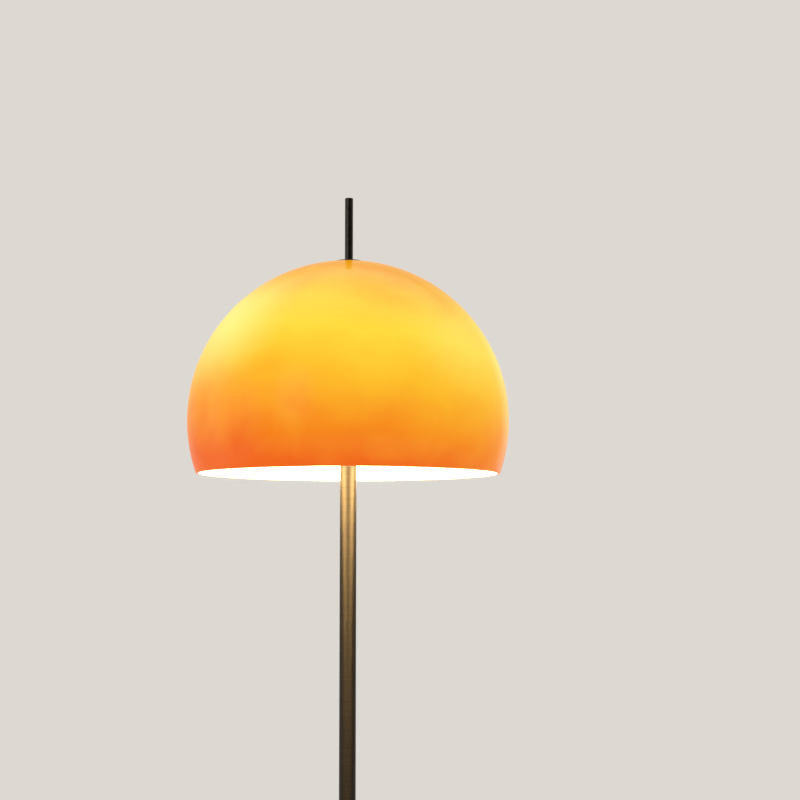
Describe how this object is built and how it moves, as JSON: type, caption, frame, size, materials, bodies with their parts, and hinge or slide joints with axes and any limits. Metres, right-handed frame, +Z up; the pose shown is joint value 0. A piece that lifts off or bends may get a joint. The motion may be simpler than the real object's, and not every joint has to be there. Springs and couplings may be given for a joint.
{
  "type": "floor lamp",
  "caption": "Floor lamp with an open amber ball shade, a slim dark steel pole rising through it to a thin finial rod, upward globe bulbs inside and a round weighted base.",
  "frame": {"origin": "centre of the base's underside on the floor", "axes": "+Z up along the pole, -Y is the front, +Y the back, where the cord inlet is"},
  "size_m": [0.39, 0.39, 1.605],
  "materials": {
    "amber_acrylic": "polished amber acrylic over an opal white inside layer, lit from within",
    "dark_steel": "ground steel with satin black nickel plate",
    "dark_nickel": "polished black nickel plate",
    "zinc_steel": "bright zinc-plated steel",
    "white_enamel": "white stove enamel on a zinc casting",
    "white_plastic": "moulded white thermoplastic, fine satin",
    "black_plastic": "moulded black nylon",
    "porcelain": "unglazed white porcelain",
    "plated_brass": "nickel-plated brass",
    "opal_globe": "opal diffuser, lit",
    "black_rubber": "moulded black rubber",
    "foam_rubber": "closed-cell black foam sheet",
    "cast_iron": "sand-cast iron with black primer",
    "pvc_lead": "white PVC sheath"
  },
  "bodies": {
    "stem": {"lower_gasket": "black_rubber", "carrier_disc": "zinc_steel", "crown_nut": "zinc_steel", "tie_rod": "zinc_steel", "riser_tube": "dark_steel", "hub_shell": "white_enamel", "hub_lid": "white_enamel", "hub_nipple": "zinc_steel", "nipple_nut": "zinc_steel", "hub_terminal": "white_plastic", "pole_top_plug": "dark_steel", "pole_upper": "dark_steel", "pole_middle": "dark_steel", "pole_lower": "dark_steel", "joiner_upper": "zinc_steel", "joiner_lower": "zinc_steel", "foot_stud": "zinc_steel", "internal_lead": "pvc_lead", "foot_collar": "dark_steel", "base_cover": "dark_steel", "base_weight": "cast_iron", "base_pad": "foam_rubber", "base_washer": "zinc_steel", "base_nut": "zinc_steel", "base_terminal": "white_plastic", "cord_bush": "black_plastic", "arm_nuts": "zinc_steel", "arm_wires": "pvc_lead", "arm_tube_1": "zinc_steel", "holder_shell_1": "white_plastic", "holder_insert_1": "porcelain", "holder_sleeve_1": "plated_brass", "holder_contact_1": "plated_brass", "arm_tube_2": "zinc_steel", "holder_shell_2": "white_plastic", "holder_insert_2": "porcelain", "holder_sleeve_2": "plated_brass", "holder_contact_2": "plated_brass", "arm_tube_3": "zinc_steel", "holder_shell_3": "white_plastic", "holder_insert_3": "porcelain", "holder_sleeve_3": "plated_brass", "holder_contact_3": "plated_brass"},
    "shade": {"shade": "amber_acrylic", "upper_gasket": "black_rubber", "cap_washer": "dark_nickel"},
    "finial": {"finial_rod": "dark_nickel"},
    "bulb_1": {"bulb_cap_1": "plated_brass", "bulb_housing_1": "white_plastic", "bulb_globe_1": "opal_globe"},
    "bulb_2": {"bulb_cap_2": "plated_brass", "bulb_housing_2": "white_plastic", "bulb_globe_2": "opal_globe"},
    "bulb_3": {"bulb_cap_3": "plated_brass", "bulb_housing_3": "white_plastic", "bulb_globe_3": "opal_globe"}
  },
  "joints": [
    {"name": "shade_lift", "type": "slide", "parent": "stem", "child": "shade", "axis": [0, 0, 1], "range_m": [0, 0.3]},
    {"name": "finial_turn", "type": "hinge", "parent": "shade", "child": "finial", "pos_m": [0, 0, 1.54], "axis": [0, 0, 1], "continuous": true},
    {"name": "bulb_1_unscrew", "type": "slide", "parent": "stem", "child": "bulb_1", "axis": [0, 0.8192, 0.5736], "range_m": [0, 0.024]},
    {"name": "bulb_2_unscrew", "type": "slide", "parent": "stem", "child": "bulb_2", "axis": [-0.7094, -0.4096, 0.5736], "range_m": [0, 0.024]},
    {"name": "bulb_3_unscrew", "type": "slide", "parent": "stem", "child": "bulb_3", "axis": [0.7094, -0.4096, 0.5736], "range_m": [0, 0.024]}
  ]
}
